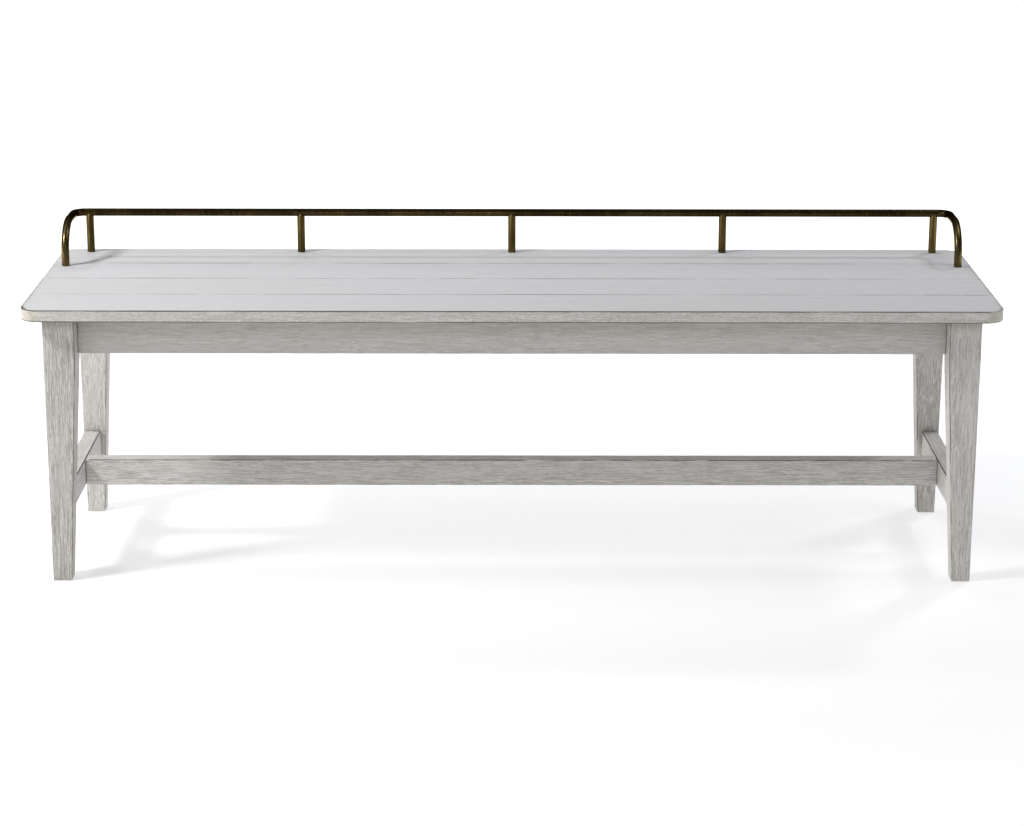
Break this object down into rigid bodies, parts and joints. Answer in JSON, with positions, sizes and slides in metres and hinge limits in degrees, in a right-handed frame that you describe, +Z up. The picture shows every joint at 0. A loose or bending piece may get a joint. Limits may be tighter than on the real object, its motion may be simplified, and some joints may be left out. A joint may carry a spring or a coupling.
{
  "type": "dining bench",
  "caption": "Backless dining bench: whitewashed plank seat on tapered legs with stretchers, and a low bent brass gallery rail standing along its back edge.",
  "frame": {"origin": "on the floor, under the middle of the seat", "axes": "+X along the seat to the right as seen from the front, +Y from the front to the back, +Z up"},
  "size_m": [1.524, 0.457, 0.5252],
  "materials": {
    "whitewashed_oak": "whitewashed, wire-brushed open-grain oak with edges rubbed through, matt",
    "raw_hardwood": "unfinished hardwood on hidden inner pieces",
    "antique_brass": "dark antique brass with rubbed brighter streaks, satin",
    "zinc_plated_steel": "zinc plated fasteners"
  },
  "bodies": {
    "root": {"apron_back": "whitewashed_oak", "apron_front": "whitewashed_oak", "apron_left": "whitewashed_oak", "apron_right": "whitewashed_oak", "corner_block_back_left": "raw_hardwood", "corner_block_back_right": "raw_hardwood", "corner_block_front_left": "raw_hardwood", "corner_block_front_right": "raw_hardwood", "cross_rail_left": "raw_hardwood", "cross_rail_right": "raw_hardwood", "cross_rail_screw_left_back": "zinc_plated_steel", "cross_rail_screw_left_front": "zinc_plated_steel", "cross_rail_screw_right_back": "zinc_plated_steel", "cross_rail_screw_right_front": "zinc_plated_steel", "hanger_bolt_back_left": "zinc_plated_steel", "hanger_bolt_back_right": "zinc_plated_steel", "hanger_bolt_front_left": "zinc_plated_steel", "hanger_bolt_front_right": "zinc_plated_steel", "hanger_nut_back_left": "zinc_plated_steel", "hanger_nut_back_right": "zinc_plated_steel", "hanger_nut_front_left": "zinc_plated_steel", "hanger_nut_front_right": "zinc_plated_steel", "leg_back_left": "whitewashed_oak", "leg_back_right": "whitewashed_oak", "leg_front_left": "whitewashed_oak", "leg_front_right": "whitewashed_oak", "plank_spline_back": "raw_hardwood", "plank_spline_front": "raw_hardwood", "plank_spline_middle": "raw_hardwood", "rail_plug_left": "zinc_plated_steel", "rail_plug_left_corner": "zinc_plated_steel", "rail_plug_left_end": "zinc_plated_steel", "rail_plug_middle": "zinc_plated_steel", "rail_plug_right": "zinc_plated_steel", "rail_plug_right_corner": "zinc_plated_steel", "rail_plug_right_end": "zinc_plated_steel", "rail_post_left": "antique_brass", "rail_post_left_corner": "antique_brass", "rail_post_middle": "antique_brass", "rail_post_right": "antique_brass", "rail_post_right_corner": "antique_brass", "rail_screw_left": "zinc_plated_steel", "rail_screw_left_corner": "zinc_plated_steel", "rail_screw_left_end": "zinc_plated_steel", "rail_screw_middle": "zinc_plated_steel", "rail_screw_right": "zinc_plated_steel", "rail_screw_right_corner": "zinc_plated_steel", "rail_screw_right_end": "zinc_plated_steel", "rail_tube": "antique_brass", "seat_plank_back": "whitewashed_oak", "seat_plank_back_inner": "whitewashed_oak", "seat_plank_front": "whitewashed_oak", "seat_plank_front_inner": "whitewashed_oak", "seat_screw_back_left": "zinc_plated_steel", "seat_screw_back_right": "zinc_plated_steel", "seat_screw_front_left": "zinc_plated_steel", "seat_screw_front_right": "zinc_plated_steel", "stretcher_left": "whitewashed_oak", "stretcher_long": "whitewashed_oak", "stretcher_right": "whitewashed_oak"}
  },
  "joints": []
}
